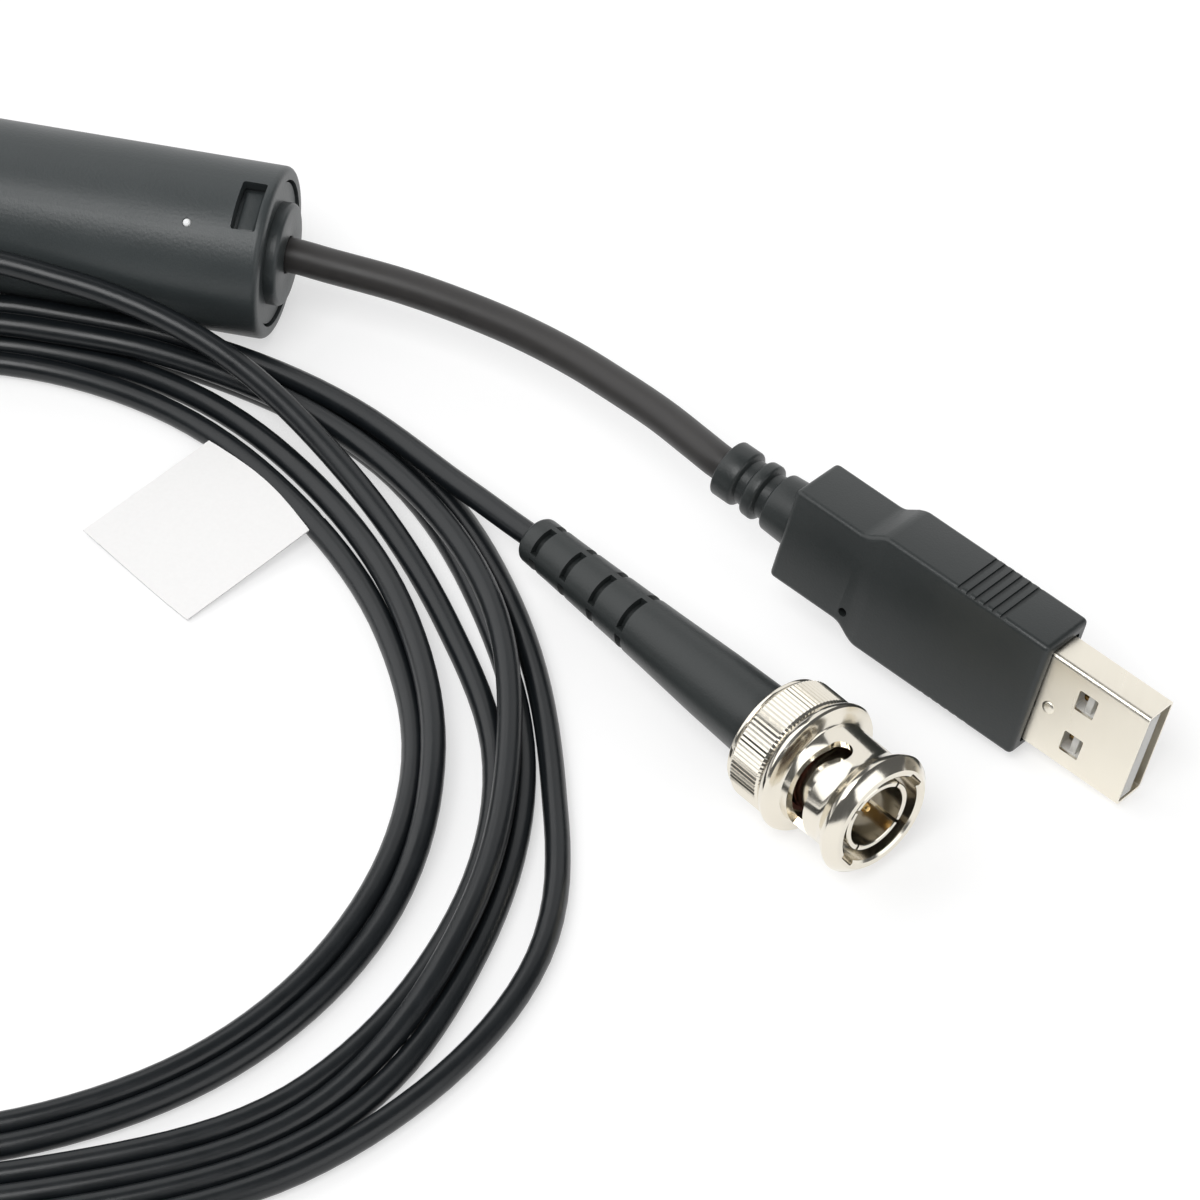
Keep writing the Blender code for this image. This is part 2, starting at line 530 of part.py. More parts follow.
def main():
    clear_scene()
    finishes = {
        "black_abs": finish("black_abs", (0.028, 0.030, 0.031), 0.55),
        "black_pvc": finish("black_pvc", (0.024, 0.026, 0.027), 0.60),
        "usb_cable": finish("usb_cable", (0.036, 0.034, 0.033), 0.50),
        "coax_cable": finish("coax_cable", (0.027, 0.029, 0.032), 0.45),
        "nickel_brass": finish("nickel_brass", (0.72, 0.69, 0.63), 0.22, 1.0),
        "nickel_steel": finish("nickel_steel", (0.78, 0.75, 0.69), 0.25, 1.0),
        "tinned_steel": finish("tinned_steel", (0.60, 0.60, 0.60), 0.35, 1.0),
        "spring_steel": finish("spring_steel", (0.45, 0.45, 0.46), 0.30, 1.0),
        "gold_plate": finish("gold_plate", (0.83, 0.62, 0.28), 0.25, 1.0),
        "white_nylon": finish("white_nylon", (0.80, 0.80, 0.78), 0.50),
        "ptfe": finish("ptfe", (0.82, 0.82, 0.80), 0.45),
        "silicone": finish("silicone", (0.45, 0.12, 0.08), 0.60),
        "clear_acrylic": finish("clear_acrylic", (0.85, 0.87, 0.87), 0.20),
        "green_board": finish("green_board", (0.02, 0.12, 0.05), 0.45),
        "black_epoxy": finish("black_epoxy", (0.02, 0.02, 0.02), 0.55),
        "white_paper": finish("white_paper", (0.86, 0.86, 0.85), 0.80)}
    build_barrel(finishes)
    build_usb_plug(finishes)
    build_bnc_plug(finishes)
    build_cords(finishes)


main()
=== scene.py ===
"""Looks of the USB to BNC interface lead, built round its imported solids.

Units are metres and +Z is up, in the frame of the solids: the origin is under the middle of the barrel and
+X runs along the barrel towards its USB end. Profiles and sizes inside the operators are in millimetres.
"""

import json
import math

import bmesh
import bpy
import numpy as np
from bpy.props import FloatProperty, FloatVectorProperty, IntProperty, PointerProperty
from mathutils import Euler, Matrix, Vector


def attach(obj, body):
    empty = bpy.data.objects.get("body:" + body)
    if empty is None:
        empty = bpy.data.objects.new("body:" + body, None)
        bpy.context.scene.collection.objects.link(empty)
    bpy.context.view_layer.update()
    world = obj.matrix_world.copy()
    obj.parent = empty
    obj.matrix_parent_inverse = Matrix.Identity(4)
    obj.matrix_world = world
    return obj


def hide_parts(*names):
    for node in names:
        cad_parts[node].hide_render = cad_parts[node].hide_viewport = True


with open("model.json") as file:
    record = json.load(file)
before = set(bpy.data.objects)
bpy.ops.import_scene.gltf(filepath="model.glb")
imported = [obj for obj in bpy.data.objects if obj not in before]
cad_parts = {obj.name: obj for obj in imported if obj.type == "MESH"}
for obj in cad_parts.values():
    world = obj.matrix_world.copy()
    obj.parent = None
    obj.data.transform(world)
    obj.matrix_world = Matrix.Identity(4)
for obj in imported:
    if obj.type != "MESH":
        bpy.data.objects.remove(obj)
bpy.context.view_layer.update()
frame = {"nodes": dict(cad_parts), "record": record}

bl_info = {
    "name": "USB to BNC interface lead",
    "version": (1, 0, 0),
    "blender": (4, 5, 0),
    "location": "View3D > Sidebar > Interface lead",
    "description": "Dresses the solids of an interface lead with its cables, plugs and finishes",
    "category": "Object",
}

MM = 0.001

# Places of the barrel and the plugs, as in the solids
BARREL_AXIS = Matrix.Translation((0, 0, 9.4 * MM))
USB_TURN = (-13.6, 6.0, -26.2)
USB_FRAME = Matrix.Translation((0.12876, -0.04061, 0.00775)) @ Euler(
    [math.radians(angle) for angle in USB_TURN]).to_matrix().to_4x4()
BNC_TURN = (0.0, -2.0, -35.6)
BNC_FRAME = Matrix.Translation((0.11532, -0.06134, 0.0079)) @ Euler(
    [math.radians(angle) for angle in BNC_TURN]).to_matrix().to_4x4()

# Routes of the cables' free stretches, within about 1 mm of those of the solids
USB_CABLE_ROUTE = [
    (0.0299, 0.0, 0.0094), (0.0342, 0.0, 0.0094), (0.0388, 0.0, 0.0094), (0.0430, -0.0005, 0.0093),
    (0.0509, -0.0015, 0.0092), (0.0580, -0.0031, 0.0092), (0.0650, -0.0054, 0.0094),
    (0.0715, -0.0084, 0.0098), (0.0773, -0.0119, 0.0104), (0.0828, -0.0157, 0.0112),
    (0.0874, -0.0194, 0.0119), (0.0905, -0.0218, 0.0122), (0.0920, -0.0225, 0.01206),
    (0.0934, -0.0232, 0.0119)]
COAX_LEAD_IN_ROUTE = [
    (-0.0299, 0.0, 0.0094), (-0.0342, 0.0, 0.0094), (-0.0388, 0.0, 0.0094), (-0.0438, -0.0004, 0.0093),
    (-0.0485, -0.0028, 0.0082), (-0.0514, -0.0074, 0.0062), (-0.0516, -0.0128, 0.0042),
    (-0.0488, -0.0178, 0.0027), (-0.0440, -0.0210, 0.0020), (-0.0385, -0.0227, 0.0018),
    (-0.0325, -0.0229, 0.0016), (-0.0262, -0.0213, 0.0015)]
COAX_LEAD_OUT_ROUTE = [
    (0.0620, -0.0234, 0.0044), (0.0660, -0.0262, 0.0050), (0.0700, -0.0290, 0.0055),
    (0.0738, -0.03165, 0.00605), (0.07631, -0.03342, 0.00622), (0.07835, -0.03487, 0.00631)]

# The coil: each turn's distance from the middle and height above the table at these directions, in degrees
# and millimetres. The turns run clockwise from the barrel's side, and the last one leaves for the BNC plug.
COIL_MIDDLE = Vector((0.0148, -0.0673, 0.0))
COIL_DIRECTIONS = (125, 100, 75, 50, 28, 8, -12, -35, -60, -100, -150, -195)
COIL_TURNS = (
    ((60.0, 1.4), (59.9, 1.4), (60.6, 1.4), (63.6, 1.4), (64.8, 1.4), (67.3, 1.4),
     (72.4, 1.4), (71.1, 1.4), (66.5, 1.4), (64.4, 1.4), (61.2, 3.6), (58.6, 3.4)),
    ((57.3, 1.4), (57.2, 1.4), (58.0, 1.4), (61.0, 1.4), (61.9, 1.4), (64.4, 1.4),
     (66.4, 1.4), (68.5, 1.4), (63.9, 1.4), (61.8, 1.4), (57.0, 4.0), (53.8, 3.8)),
    ((52.8, 1.4), (52.6, 1.4), (51.6, 1.4), (50.4, 1.4), (51.5, 1.4), (53.4, 1.4),
     (54.0, 1.4), (54.0, 1.4), (52.6, 1.4), (51.5, 1.4), (52.4, 1.4), (53.8, 1.4)),
    ((54.9, 1.6), (54.8, 1.6), (54.5, 1.9), (53.2, 2.2), (53.6, 2.8), (55.2, 3.0),
     (56.5, 1.6), (56.4, 1.4), (55.2, 1.4), (54.2, 1.4), (55.0, 1.6), (56.2, 4.6)),
    ((57.4, 10.6), (57.8, 12.0), (57.3, 8.6), (56.1, 4.2), (57.6, 1.9), (61.6, 1.4),
     (63.2, 1.4), (63.4, 1.4), (58.6, 1.4), (56.8, 1.4), (57.6, 1.4), (56.6, 2.2)),
    ((55.9, 3.7), (55.7, 3.7), (56.8, 3.6), (59.9, 3.6), (62.4, 3.6), (62.9, 3.6),
     (64.7, 3.5), (66.0, 1.4), (61.3, 1.4), (59.4, 1.4), (60.2, 1.4), (59.6, 1.6)))
COIL_LEAVES = ((58.5, 3.7), (58.1, 4.0), (59.7, 3.6), (63.2, 3.8))
COIL_STEP = 5           # degrees between the points of a turn
SETTLE_ROUNDS = 160     # rounds of pushing the turns off each other
FINAL_ROUNDS = 12       # last rounds, which only push
DRIFT_KEPT = 0.94       # share of its drift from the wanted place that a turn keeps in a round
DRIFT_PASSES = 3        # smoothing passes over that drift
DRIFT_BLEND = 0.25      # weight of the neighbours in a pass
COIL_GAP = 1.01         # least distance between the middles of two turns, in cable diameters

# Places along the barrel in millimetres from its middle, and degrees about its axis, as in the solids
LATCH_PLACE = 34.9
LATCH_TURN = -15.0
LIGHT_PLACE = 28.8
LIGHT_TURN = -34.4

# The bayonet slots of the coupling nut, as in the solids: where they enter, in degrees, and the course of
# each as degrees from its entry with places along X in millimetres
SLOT_ENTRIES = (241.0, 61.0)
SLOT_COURSE = ((0, -5.6), (20, -5.8), (40, -5.9), (60, -5.9), (80, -5.8), (100, -5.5), (116, -5.1))


def linear(code):
    """A linear colour from an sRGB hex value."""
    channels = [int(code[place:place + 2], 16) / 255 for place in (1, 3, 5)]
    return tuple(c / 12.92 if c <= 0.04045 else ((c + 0.055) / 1.055) ** 2.4 for c in channels)


def per_mm(size):
    """A texture scale whose pattern repeats at a size in millimetres."""
    return 1.0 / (size * MM)


class LeadSizes(bpy.types.PropertyGroup):
    """Sizes that a maker of this lead would change."""
    barrel_radius: FloatProperty(name="Barrel radius", description="Outside of the in-line barrel",
                                 default=9.4 * MM, unit="LENGTH")
    barrel_half: FloatProperty(name="Half barrel", description="From the barrel's middle to its end",
                               default=37.2 * MM, unit="LENGTH")
    coax_diameter: FloatProperty(name="Coax diameter", description="Outside of the coaxial cable",
                                 default=2.6 * MM, unit="LENGTH")
    usb_diameter: FloatProperty(name="USB cable diameter", description="Outside of the USB cable",
                                default=3.8 * MM, unit="LENGTH")
    knurl_teeth: IntProperty(name="Knurl teeth", description="Teeth round the coupling nut",
                             default=90, min=24)
    knurl_depth: FloatProperty(name="Knurl depth", description="Depth of the nut's straight knurl",
                               default=0.1 * MM, unit="LENGTH")


class LeadColours(bpy.types.PropertyGroup):
    """Colours of the finishes."""
    barrel: FloatVectorProperty(name="Barrel", description="Moulded barrel and its end caps", subtype="COLOR",
                                default=linear("#393e3f"))
    overmould: FloatVectorProperty(name="Overmould", description="Moulded grip and boots", subtype="COLOR",
                                   default=linear("#2a2e2e"))
    coax: FloatVectorProperty(name="Coax", description="Jacket of the coaxial cable", subtype="COLOR",
                              default=linear("#13171a"))
    usb_cable: FloatVectorProperty(name="USB cable", description="Jacket of the USB cable", subtype="COLOR",
                                   default=linear("#302e2d"))
    nickel: FloatVectorProperty(name="Nickel", description="Plating of the BNC plug", subtype="COLOR",
                                default=linear("#e8e2d5"))
    shell: FloatVectorProperty(name="Shell", description="Plating of the USB shell", subtype="COLOR",
                               default=linear("#f1ebdd"))
    gold: FloatVectorProperty(name="Gold", description="Plating of the contacts", subtype="COLOR",
                              default=linear("#dcb878"))
    paper: FloatVectorProperty(name="Paper", description="Flag on the innermost turn", subtype="COLOR",
                               default=linear("#f4f3f2"))


# Finishes

def add_node(tree, kind, values=None, links=None, **settings):
    """Add a shader node with its settings, its socket values and its incoming links."""
    item = tree.nodes.new(kind)
    for key, value in settings.items():
        setattr(item, key, value)
    for socket, value in (values or {}).items():
        item.inputs[socket].default_value = value
    for socket, source in (links or {}).items():
        tree.links.new(source, item.inputs[socket])
    return item


def new_finish(name, roughness, metallic=0.0):
    """A material with its node tree, its Principled shader and its object coordinates."""
    finish = bpy.data.materials.new(name)
    finish.use_nodes = True
    tree = finish.node_tree
    shader = tree.nodes["Principled BSDF"]
    shader.inputs["Roughness"].default_value = roughness
    shader.inputs["Metallic"].default_value = metallic
    place = tree.nodes.new("ShaderNodeTexCoord").outputs["Object"]
    return finish, tree, shader, place


def noise(tree, place, size, detail=2.0):
    """Cloudy variation between 0 and 1 with features of a size in millimetres."""
    cloud = add_node(tree, "ShaderNodeTexNoise", {"Scale": per_mm(size), "Detail": detail},
                     {"Vector": place})
    return cloud.outputs["Fac"]


def vary_colour(tree, shader, colour, share, spread):
    """Let the colour swing by a share of itself, up and down."""
    darker = (*[c * (1 - spread) for c in colour], 1)
    paler = (*[min(c * (1 + spread), 1.0) for c in colour], 1)
    mix = add_node(tree, "ShaderNodeMix", {6: darker, 7: paler}, {0: share}, data_type="RGBA")
    tree.links.new(mix.outputs[2], shader.inputs["Base Color"])


def vary_roughness(tree, shader, share, low, high):
    """Let the roughness swing between two values."""
    swing = add_node(tree, "ShaderNodeMapRange", {"To Min": low, "To Max": high}, {"Value": share})
    tree.links.new(swing.outputs["Result"], shader.inputs["Roughness"])


def raise_bumps(tree, shader, height, strength, depth):
    """Light the surface as if it had bumps of a depth in millimetres."""
    bump = add_node(tree, "ShaderNodeBump", {"Strength": strength, "Distance": depth * MM},
                    {"Height": height})
    tree.links.new(bump.outputs["Normal"], shader.inputs["Normal"])


def seen_directly(tree):
    """One where the camera, a reflection or a clear piece sees a surface, and nothing for its light."""
    path = tree.nodes.new("ShaderNodeLightPath")
    direct = add_node(tree, "ShaderNodeMath", operation="MAXIMUM",
                      links={0: path.outputs["Is Camera Ray"], 1: path.outputs["Is Glossy Ray"]})
    seen = add_node(tree, "ShaderNodeMath", operation="MAXIMUM",
                    links={0: direct.outputs["Value"], 1: path.outputs["Is Transmission Ray"]})
    return seen.outputs["Value"]


def moulded_plastic(name, colour, grain, depth, roughness, ior=1.5):
    """A moulded plastic with an even grain and faint cloudy wear, some 6 mm across. Real grain is about
    0.1 mm across and is drawn two to five times as coarse, so that it shows."""
    finish, tree, shader, place = new_finish(name, roughness)
    shader.inputs["IOR"].default_value = ior
    cloud = noise(tree, place, size=6.0, detail=3.0)
    vary_colour(tree, shader, colour, cloud, spread=0.12)
    vary_roughness(tree, shader, cloud, low=roughness - 0.07, high=roughness + 0.07)
    raise_bumps(tree, shader, noise(tree, place, grain), strength=0.6, depth=depth)
    return finish


def cable_jacket(name, colour, roughness):
    """An extruded jacket, smooth and a little waxy, with faint scuffs and dust. Real scuffs are finer and are
    drawn at 3 mm, so that they show."""
    finish, tree, shader, place = new_finish(name, roughness)
    shader.inputs["IOR"].default_value = 1.5
    scuff = noise(tree, place, size=3.0, detail=4.0)
    vary_colour(tree, shader, colour, scuff, spread=0.25)
    vary_roughness(tree, shader, scuff, low=roughness - 0.08, high=roughness + 0.1)
    raise_bumps(tree, shader, noise(tree, place, size=0.5), strength=0.3, depth=0.02)
    return finish


def plated_metal(name, colour, roughness, turn=(0, 0, 0)):
    """Plated metal with the fine lines of turning or rolling across one axis. The real lines are some 0.05 mm
    apart and are drawn at 0.3 mm, where a close view can still show them."""
    finish, tree, shader, place = new_finish(name, roughness, metallic=1.0)
    shader.inputs["Base Color"].default_value = (*colour, 1)
    along = add_node(tree, "ShaderNodeMapping",
                     {"Rotation": [math.radians(angle) for angle in turn], "Scale": (1, 0.04, 0.04)},
                     {"Vector": place})
    lines = noise(tree, along.outputs["Vector"], size=0.3)
    stain = noise(tree, place, size=4.0, detail=3.0)
    both = add_node(tree, "ShaderNodeMath", links={0: lines, 1: stain}, operation="MULTIPLY")
    vary_roughness(tree, shader, both.outputs["Value"], low=roughness - 0.06, high=roughness + 0.22)
    raise_bumps(tree, shader, lines, strength=0.12, depth=0.01)
    return finish


def label_paper(name, colour):
    """Uncoated paper whose soft fibres show as faint mottling. Real fibres are some 0.03 mm wide and are
    drawn at 0.4 mm, so that they show."""
    finish, tree, shader, place = new_finish(name, roughness=0.85)
    fibre = noise(tree, place, size=0.4, detail=4.0)
    vary_colour(tree, shader, colour, fibre, spread=0.03)
    raise_bumps(tree, shader, fibre, strength=0.3, depth=0.02)
    return finish


def make_finishes(colours):
    """Every finish of the lead, by its slot in the record."""
    return {
        # Black ABS from a spark-eroded mould: a fine even grain that spreads the light into a soft grey sheen
        "black_abs": moulded_plastic("black_abs", colours.barrel, grain=0.35, depth=0.04, roughness=0.4),
        # Soft black PVC moulded over the plugs: finer grain, darker than the barrel, with a clearer sheen
        "black_pvc": moulded_plastic("black_pvc", colours.overmould, grain=0.25, depth=0.03, roughness=0.38),
        # PVC jacket of the USB cable: warm black, satin
        "usb_cable": cable_jacket("usb_cable", colours.usb_cable, roughness=0.42),
        # PVC jacket of the thin coax: cool black and smooth, so each strand carries a thin bright line
        "coax_cable": cable_jacket("coax_cable", colours.coax, roughness=0.31),
        # Bright nickel on turned brass: mirror-like and slightly warm
        "nickel_brass": plated_metal("nickel_brass", colours.nickel, roughness=0.14, turn=BNC_TURN),
        # Nickel on rolled steel: paler and softer, a satin sheet
        "nickel_steel": plated_metal("nickel_steel", colours.shell, roughness=0.3, turn=USB_TURN),
        # Tin on steel inside the barrel: grey and satin
        "tinned_steel": plated_metal("tinned_steel", linear("#c4c6c6"), roughness=0.34),
        # Bare spring steel: darker grey with a clear shine
        "spring_steel": plated_metal("spring_steel", linear("#b4b5b7"), roughness=0.28, turn=BNC_TURN),
        # Gold on the contacts: warm yellow, smooth
        "gold_plate": plated_metal("gold_plate", colours.gold, roughness=0.22),
        # Natural nylon of the tongue: milky white, satin
        "white_nylon": moulded_plastic("white_nylon", linear("#e4e3df"),
                                       grain=0.4, depth=0.03, roughness=0.48, ior=1.53),
        # PTFE of the insulator: chalky white with a waxy gloss
        "ptfe": moulded_plastic("ptfe", linear("#e8e7e3"), grain=0.3, depth=0.02, roughness=0.42, ior=1.38),
        # Silicone of the gasket: dull brick red
        "silicone": moulded_plastic("silicone", linear("#6a3a2e"),
                                    grain=0.3, depth=0.02, roughness=0.55, ior=1.43),
        # Acrylic of the light pipe: frosted at its tip, so it reads as a white dot
        "clear_acrylic": moulded_plastic("clear_acrylic", linear("#f6f8f8"),
                                         grain=0.3, depth=0.01, roughness=0.2, ior=1.49),
        # Solder mask on the board: deep green, satin
        "green_board": moulded_plastic("green_board", linear("#245a35"),
                                       grain=0.5, depth=0.02, roughness=0.4),
        # Epoxy of the chips: near black and matt
        "black_epoxy": moulded_plastic("black_epoxy", linear("#262626"),
                                       grain=0.2, depth=0.03, roughness=0.55),
        # Bare label paper: matt white
        "white_paper": label_paper("white_paper", colours.paper)}


FINISHES = {}


def finish_of(slot):
    """The finish of one of the record's slots, made with the others on first use."""
    if not FINISHES:
        FINISHES.update(make_finishes(bpy.context.scene.lead_colours))
    return FINISHES[slot]


# Shaping

def spun(profile, sides=96, solid=False):
    """Spin (x, radius) points in millimetres about X. A solid profile starts and ends on the axis."""
    shape = bmesh.new()
    points = [shape.verts.new((x * MM, 0, radius * MM)) for x, radius in profile]
    edges = [shape.edges.new(pair) for pair in zip(points, points[1:])]
    if not solid:
        edges.append(shape.edges.new((points[-1], points[0])))
    bmesh.ops.spin(shape, geom=points + edges, cent=(0, 0, 0), axis=(1, 0, 0), angle=2 * math.pi, steps=sides,
                   use_merge=True)
    bmesh.ops.remove_doubles(shape, verts=shape.verts, dist=1e-7)
    bmesh.ops.recalc_face_normals(shape, faces=shape.faces)
    return shape


def bevel(shape, edges, offset, segments=3):
    """Round edges by an offset in millimetres."""
    bmesh.ops.bevel(shape, geom=edges, offset=offset * MM, segments=segments, profile=0.5, affect="EDGES",
                    material=-1)


def round_rings(shape, rings, offset, segments=3):
    """Round the ring edges that lie at these (x, radius) places, in millimetres."""
    chosen = []
    for edge in shape.edges:
        for x, radius in rings:
            near = [abs(v.co.x - x * MM) < 1e-6 and abs(math.hypot(v.co.y, v.co.z) - radius * MM) < 1e-6
                    for v in edge.verts]
            if all(near):
                chosen.append(edge)
    bevel(shape, chosen, offset, segments)


def block(size, centre=(0, 0, 0), edge=0.0, segments=3, shape=None):
    """A box in millimetres with rounded edges, on its own or added to another shape."""
    shape = shape or bmesh.new()
    made = bmesh.ops.create_cube(shape, size=1.0)
    bmesh.ops.scale(shape, vec=[side * MM for side in size], verts=made["verts"])
    bmesh.ops.translate(shape, vec=[place * MM for place in centre], verts=made["verts"])
    if edge:
        bevel(shape, list({line for corner in made["verts"] for line in corner.link_edges}), edge, segments)
    return shape


def turn_about_x(shape, degrees, verts=None):
    """Turn a shape, or some of its corners, about X. Positive turns take the top towards +Y."""
    matrix = Matrix.Rotation(math.radians(-degrees), 3, "X")
    bmesh.ops.rotate(shape, cent=(0, 0, 0), matrix=matrix, verts=verts or shape.verts)
    return shape


def stand_up(shape, x=0.0):
    """Take a shape that lies along X and stand it along Z at a place on X."""
    matrix = Matrix.Rotation(math.radians(-90), 3, "Y")
    bmesh.ops.rotate(shape, cent=(0, 0, 0), matrix=matrix, verts=shape.verts)
    bmesh.ops.translate(shape, vec=(x * MM, 0, 0), verts=shape.verts)
    return shape


def swept_cutter(width, inside, outside, course):
    """A cutter with a square section, swept round X through (degrees, x) places."""
    shape = bmesh.new()
    turn, x = course[0]
    back = x - width / 2
    front = x + width / 2
    corners = ((back, inside), (front, inside), (front, outside), (back, outside))
    face = shape.faces.new([shape.verts.new((along * MM, 0, radius * MM)) for along, radius in corners])
    turn_about_x(shape, turn)
    for (turn, x), (next_turn, next_x) in zip(course, course[1:]):
        face = bmesh.ops.extrude_discrete_faces(shape, faces=[face])["faces"][0]
        turn_about_x(shape, next_turn - turn, face.verts)
        bmesh.ops.translate(shape, vec=((next_x - x) * MM, 0, 0), verts=face.verts)
    bmesh.ops.holes_fill(shape, edges=[edge for edge in shape.edges if edge.is_boundary])
    return shape


def as_object(name, shape):
    """A shape as an object of the scene."""
    bmesh.ops.recalc_face_normals(shape, faces=shape.faces)
    mesh = bpy.data.meshes.new(name)
    shape.to_mesh(mesh)
    shape.free()
    item = bpy.data.objects.new(name, mesh)
    bpy.context.collection.objects.link(item)
    return item


def cut(item, tool_shape, operation="DIFFERENCE"):
    """Cut a shape out of an object, or join it on, and keep the result as the object's mesh."""
    tool = as_object("tool", tool_shape)
    step = item.modifiers.new("cut", "BOOLEAN")
    step.object = tool
    step.operation = operation
    step.solver = "EXACT"
    result = bpy.data.meshes.new_from_object(item.evaluated_get(bpy.context.evaluated_depsgraph_get()))
    item.modifiers.clear()
    item.data = result
    bpy.data.objects.remove(tool, do_unlink=True)


def dress(item, place, slot, body, stands_for, sharp=32):
    """Put a piece in its place with its finish, on its body and in front of the solids it stands for."""
    item.data.transform(place)
    item.data.shade_smooth()
    item.data.set_sharp_from_angle(angle=math.radians(sharp))
    item.data.materials.clear()
    item.data.materials.append(finish_of(slot))
    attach(item, body)
    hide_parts(*stands_for)
    return item


# Cables

def smooth_line(points, spacing):
    """Points at even spacing on a Catmull-Rom curve through others."""
    knots = np.array(points, float)
    knots = np.vstack([2 * knots[0] - knots[1], knots, 2 * knots[-1] - knots[-2]])
    fine = []
    parts = 8
    for p0, p1, p2, p3 in zip(knots, knots[1:], knots[2:], knots[3:]):
        for t in np.arange(parts) / parts:
            fine.append(0.5 * (2 * p1 + (p2 - p0) * t + (2 * p0 - 5 * p1 + 4 * p2 - p3) * t ** 2
                               + (3 * p1 - p0 - 3 * p2 + p3) * t ** 3))
    fine = np.array(fine + [knots[-2]])
    walked = np.concatenate([[0], np.cumsum(np.linalg.norm(np.diff(fine, axis=0), axis=1))])
    count = max(2, round(walked[-1] / spacing))
    even = np.linspace(0, walked[-1], count + 1)
    return np.stack([np.interp(even, walked, fine[:, axis]) for axis in range(3)], axis=1)


def make_cable(name, points, diameter, slot, stands_for):
    """A cable as one open curve with a round section."""
    curve = bpy.data.curves.new(name, "CURVE")
    curve.dimensions = "3D"
    curve.bevel_depth = diameter / 2
    curve.bevel_resolution = 6
    curve.use_fill_caps = True
    spline = curve.splines.new("POLY")
    spline.points.add(len(points) - 1)
    for knot, point in zip(spline.points, points):
        knot.co = (*point, 1.0)
    spline.use_smooth = True
    curve.materials.append(finish_of(slot))
    cable = bpy.data.objects.new(name, curve)
    bpy.context.collection.objects.link(cable)
    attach(cable, "lead")
    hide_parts(*stands_for)
    return cable


def push_apart(out, up, layers, count, gap):
    """Move turns that overlap at the same direction away from each other, half of the way each."""
    spare = layers * count - len(out)
    far = np.full(spare, 1.0)
    grid_out = np.append(out, far).reshape(layers, count)
    grid_up = np.append(up, far).reshape(layers, count)
    for lower in range(layers):
        for upper in range(lower + 1, layers):
            side = grid_out[upper] - grid_out[lower]
            rise = grid_up[upper] - grid_up[lower]
            apart = np.hypot(side, rise) + 1e-9
            push = np.clip(gap - apart, 0, None) / apart / 2
            grid_out[upper] += side * push
            grid_out[lower] -= side * push
            grid_up[upper] += rise * push
            grid_up[lower] -= rise * push
    return grid_out.ravel()[:len(out)], grid_up.ravel()[:len(up)]


def coil_points(thick, barrel_radius, barrel_half):
    """Lay the coil's turns: each keeps near its own distance and height, and they push each other, the
    barrel and the table away until none lies in another."""
    rounds = len(COIL_TURNS)
    angles = [start - 360 * turn for turn in range(rounds) for start in COIL_DIRECTIONS]
    angles += [start - 360 * rounds for start in COIL_DIRECTIONS[:len(COIL_LEAVES)]]
    places = [place for turn in COIL_TURNS for place in turn] + list(COIL_LEAVES)
    knots = smooth_line([(angle, radius, height) for angle, (radius, height) in zip(angles, places)], 1.0)
    around = np.arange(angles[0], angles[-1] - 1e-6, -COIL_STEP)
    wanted_out = np.interp(-around, -knots[:, 0], knots[:, 1]) * MM
    wanted_up = np.interp(-around, -knots[:, 0], knots[:, 2]) * MM
    count = 360 // COIL_STEP
    layers = math.ceil(len(around) / count)
    turn = np.radians(around)
    gap = thick * COIL_GAP
    out = wanted_out.copy()
    up = wanted_up.copy()
    for step in range(SETTLE_ROUNDS):
        if step < SETTLE_ROUNDS - FINAL_ROUNDS:
            for now, wanted in ((out, wanted_out), (up, wanted_up)):
                drift = now - wanted
                for _ in range(DRIFT_PASSES):
                    drift[1:-1] += DRIFT_BLEND * (drift[2:] + drift[:-2] - 2 * drift[1:-1])
                now[:] = wanted + DRIFT_KEPT * drift
        out, up = push_apart(out, up, layers, count, gap)
        x = COIL_MIDDLE.x + out * np.cos(turn)
        y = COIL_MIDDLE.y + out * np.sin(turn)
        reach = np.hypot(y, up - barrel_radius) + 1e-9
        need = barrel_radius + gap / 2
        inside = (np.abs(x) < barrel_half + thick) & (reach < need)
        out = np.where(inside, out + (y / reach) * (need - reach) * np.sin(turn), out)
        up = np.maximum(up, thick / 2)
    return np.stack([COIL_MIDDLE.x + out * np.cos(turn), COIL_MIDDLE.y + out * np.sin(turn), up], axis=1)


class LEAD_OT_usb_cable(bpy.types.Operator):
    """Lay the USB cable from the barrel to its plug"""
    bl_idname = "lead.usb_cable"
    bl_label = "USB cable"

    def execute(self, context):
        sizes = context.scene.lead_sizes
        points = smooth_line(USB_CABLE_ROUTE, spacing=1.2 * MM)
        cable = make_cable("usb_cable", points, sizes.usb_diameter, "usb_cable", ["usb_cord"])
        return {"FINISHED"}


class LEAD_OT_coax_cable(bpy.types.Operator):
    """Wind the coaxial cable from the barrel through its coil to the BNC boot"""
    bl_idname = "lead.coax_cable"
    bl_label = "Coax cable"

    def execute(self, context):
        sizes = context.scene.lead_sizes
        coil = coil_points(sizes.coax_diameter, sizes.barrel_radius, sizes.barrel_half)
        points = smooth_line([*COAX_LEAD_IN_ROUTE, *coil, *COAX_LEAD_OUT_ROUTE], spacing=2.5 * MM)
        cable = make_cable("coax_cable", points, sizes.coax_diameter, "coax_cable",
                           ["coax_lead_in", "coax_coil", "coax_lead_out"])
        return {"FINISHED"}


class LEAD_OT_inner_parts(bpy.types.Operator):
    """Give every solid its finish, because some of them stay in view"""
    bl_idname = "lead.inner_parts"
    bl_label = "Inner parts"

    def execute(self, context):
        for part in frame["record"]["subparts"]:
            item = frame["nodes"][part["node"]]
            item.data.materials.clear()
            item.data.materials.append(finish_of(part["material_slot"]))
        return {"FINISHED"}


